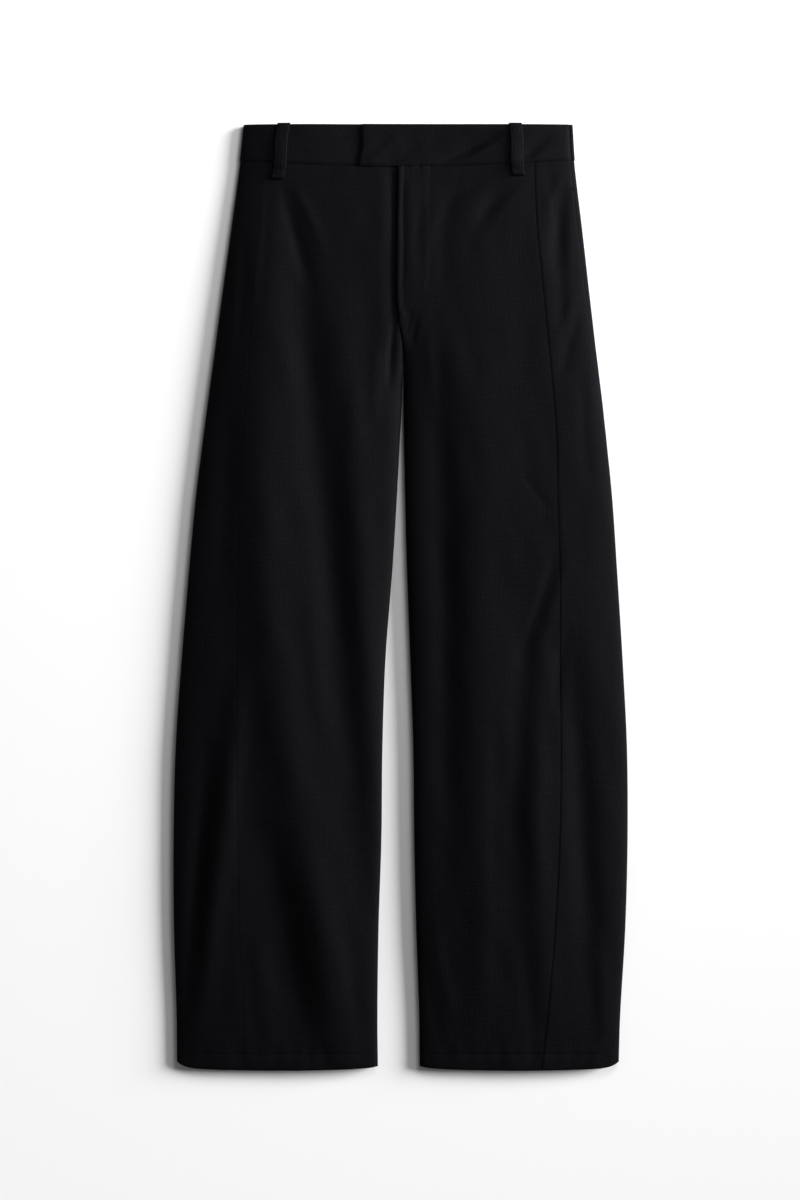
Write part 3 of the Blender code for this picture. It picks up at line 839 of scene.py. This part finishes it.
def cloth_material(name, tint):
    """Matt black cloth: a fine weave with slubs along the legs and a slightly uneven shade."""
    material = bpy.data.materials.new(name)
    material.use_nodes = True
    nodes, links = material.node_tree.nodes, material.node_tree.links
    shader = nodes["Principled BSDF"]
    shader.inputs["Roughness"].default_value = 0.56
    shader.inputs["Specular IOR Level"].default_value = 0.06
    shader.inputs["Specular Tint"].default_value = (0.88, 0.84, 1.0, 1.0)
    shader.inputs["Sheen Weight"].default_value = 0.002
    shader.inputs["Sheen Roughness"].default_value = 0.45
    shader.inputs["Sheen Tint"].default_value = (0.86, 0.84, 1.0, 1.0)

    place = nodes.new("ShaderNodeTexCoord")

    def stretched(scale):
        mapping = nodes.new("ShaderNodeMapping")
        mapping.inputs["Scale"].default_value = scale
        links.new(place.outputs["Object"], mapping.inputs["Vector"])
        return mapping.outputs["Vector"]

    def noise(scale, detail):
        texture = nodes.new("ShaderNodeTexNoise")
        texture.inputs["Scale"].default_value = 1.0
        texture.inputs["Detail"].default_value = detail
        links.new(stretched(scale), texture.inputs["Vector"])
        return texture.outputs["Fac"]

    def threads(scale, along):
        texture = nodes.new("ShaderNodeTexWave")
        texture.wave_type = "BANDS"
        texture.bands_direction = along
        texture.inputs["Scale"].default_value = scale
        texture.inputs["Distortion"].default_value = 1.2
        texture.inputs["Detail"].default_value = 1.0
        links.new(place.outputs["Object"], texture.inputs["Vector"])
        return texture.outputs["Fac"]

    def added(first, second):
        node = nodes.new("ShaderNodeMath")
        node.operation = "ADD"
        links.new(first, node.inputs[0])
        links.new(second, node.inputs[1])
        return node.outputs["Value"]

    def with_value(kind, value, number):
        node = nodes.new("ShaderNodeMath")
        node.operation = kind
        links.new(value, node.inputs[0])
        node.inputs[1].default_value = number
        return node.outputs["Value"]

    slubs = noise((620.0, 95.0, 200.0), 3.0)
    cross_slubs = noise((60.0, 520.0, 200.0), 2.0)
    cloudy = noise((9.0, 6.0, 9.0), 2.0)
    yarn = added(slubs, cross_slubs)
    shade = with_value("MULTIPLY", added(yarn, cloudy), 1.0 / 3.0)

    ramp = nodes.new("ShaderNodeValToRGB")
    dark, light = ramp.color_ramp.elements
    dark.position = 0.34
    light.position = 0.66
    dark.color = (*[0.55 * channel for channel in tint], 1.0)
    light.color = (*[1.45 * channel for channel in tint], 1.0)
    links.new(shade, ramp.inputs["Fac"])
    links.new(ramp.outputs["Color"], shader.inputs["Base Color"])

    warp = threads(THREADS_SCALE, "X")
    weft = threads(THREADS_SCALE * 0.9, "Y")
    woven = added(with_value("MULTIPLY", added(warp, weft), 0.22), yarn)
    above_limit = with_value("SUBTRACT", noise((760.0, 130.0, 200.0), 1.0), 0.69)
    thick_slubs = with_value("MULTIPLY", with_value("MAXIMUM", above_limit, 0.0), 4.5)
    height = added(thick_slubs, woven)
    bump = nodes.new("ShaderNodeBump")
    bump.inputs["Strength"].default_value = 0.5
    bump.inputs["Distance"].default_value = 0.00045
    links.new(height, bump.inputs["Height"])
    links.new(bump.outputs["Normal"], shader.inputs["Normal"])
    return material


def thread_material():
    """Twisted black thread, a little smoother than the cloth."""
    material = bpy.data.materials.new("black_thread")
    material.use_nodes = True
    nodes, links = material.node_tree.nodes, material.node_tree.links
    shader = nodes["Principled BSDF"]
    shader.inputs["Base Color"].default_value = (0.0015, 0.0015, 0.002, 1.0)
    shader.inputs["Roughness"].default_value = 0.55
    shader.inputs["Specular IOR Level"].default_value = 0.1
    place = nodes.new("ShaderNodeTexCoord")
    twist = nodes.new("ShaderNodeTexWave")
    twist.bands_direction = "DIAGONAL"
    twist.inputs["Scale"].default_value = THREADS_SCALE
    links.new(place.outputs["Object"], twist.inputs["Vector"])
    bump = nodes.new("ShaderNodeBump")
    bump.inputs["Strength"].default_value = 0.4
    bump.inputs["Distance"].default_value = 0.0001
    links.new(twist.outputs["Fac"], bump.inputs["Height"])
    links.new(bump.outputs["Normal"], shader.inputs["Normal"])
    return material


def add_trousers(cloth):
    """The six panels of the legs, each with its own spacing across."""
    close = (0.06, 0.3, 0.8, 1.5)
    even = with_ends(96, close, close, 160.0)
    nominal_seam = 0.46
    front = (place_of(blend(-1.0, nominal_seam, even)) + 1.0) / (place_of(np.array(nominal_seam)) + 1.0)
    narrow = with_ends(44, close, close, 80.0)
    wide = with_ends(60, close, close, 250.0)
    front_dips = {"left": (0.3, 0.05), "right": (0.0, 0.12)}
    side_dips = {"left": (0.45, 0.3), "right": (0.06, 0.3)}
    back_dips = (0.3, 0.0)
    for side in SIDES:
        add_panel("front_" + side, side, inner_front, front_seam, front, cloth, front_dips[side])
        add_panel("side_front_" + side, side, front_seam, side_seam, narrow, cloth,
                  side_dips[side])
        add_panel("back_" + side, side, side_seam, inner_back, wide, cloth, back_dips)


def add_floor():
    """White paper, wide enough that its edge never shows, a hair under the trousers."""
    mesh = bpy.data.meshes.new("floor")
    half = 60.0
    low = -0.0004
    corners = [(-half, -half, low), (half, -half, low), (half, half, low), (-half, half, low)]
    mesh.from_pydata(corners, [], [(0, 1, 2, 3)])
    floor = bpy.data.objects.new("floor", mesh)
    bpy.context.scene.collection.objects.link(floor)
    paper = bpy.data.materials.new("white_paper")
    paper.use_nodes = True
    shader = paper.node_tree.nodes["Principled BSDF"]
    shader.inputs["Base Color"].default_value = (0.95, 0.95, 0.95, 1.0)
    shader.inputs["Roughness"].default_value = 0.9
    shader.inputs["Specular IOR Level"].default_value = 0.1
    mesh.materials.append(paper)


def add_camera():
    """Straight above, with the photograph's frame: 1.35 m from top to bottom."""
    data = bpy.data.cameras.new("camera")
    data.lens = 100.0
    data.sensor_fit = "VERTICAL"
    data.sensor_height = 36.0
    camera = bpy.data.objects.new("camera", data)
    camera.location = (-0.0006, -0.0034, 3.747)
    bpy.context.scene.collection.objects.link(camera)
    bpy.context.scene.camera = camera


def add_lights():
    """A low, wide key light from the wearer's left, and a softbox high beyond the waist on that side."""
    scene = bpy.context.scene
    scene.view_settings.view_transform = "Standard"
    world = bpy.data.worlds.new("studio")
    scene.world = world
    world.use_nodes = True
    backdrop = world.node_tree.nodes["Background"]
    backdrop.inputs["Color"].default_value = (1.0, 1.0, 1.0, 1.0)
    backdrop.inputs["Strength"].default_value = 0.12

    sun = bpy.data.lights.new("key", "SUN")
    sun.energy = 7.6
    sun.angle = radians(27.0)
    key = bpy.data.objects.new("key", sun)
    elevation, azimuth = radians(17.5), radians(16.0)
    key.rotation_euler = (0.0, pi / 2.0 - elevation, azimuth)
    scene.collection.objects.link(key)

    panel = bpy.data.lights.new("softbox", "AREA")
    panel.energy = 10.5
    panel.size = 0.8
    softbox = bpy.data.objects.new("softbox", panel)
    softbox.location = (0.55, 0.95, 1.15)
    aim = Vector((0.1, 0.3, 0.0)) - softbox.location
    softbox.rotation_euler = aim.to_track_quat("-Z", "Y").to_euler()
    scene.collection.objects.link(softbox)


cloth = cloth_material("black_cloth", (0.0009, 0.00087, 0.00125))
band_cloth = cloth_material("smooth_band_cloth", (0.00105, 0.001, 0.0014))
thread = thread_material()
add_floor()
add_trousers(cloth)
add_waistband(band_cloth)
for belt_loop in LOOPS:
    add_belt_loop(belt_loop, band_cloth)
add_stitching(thread)
add_camera()
add_lights()
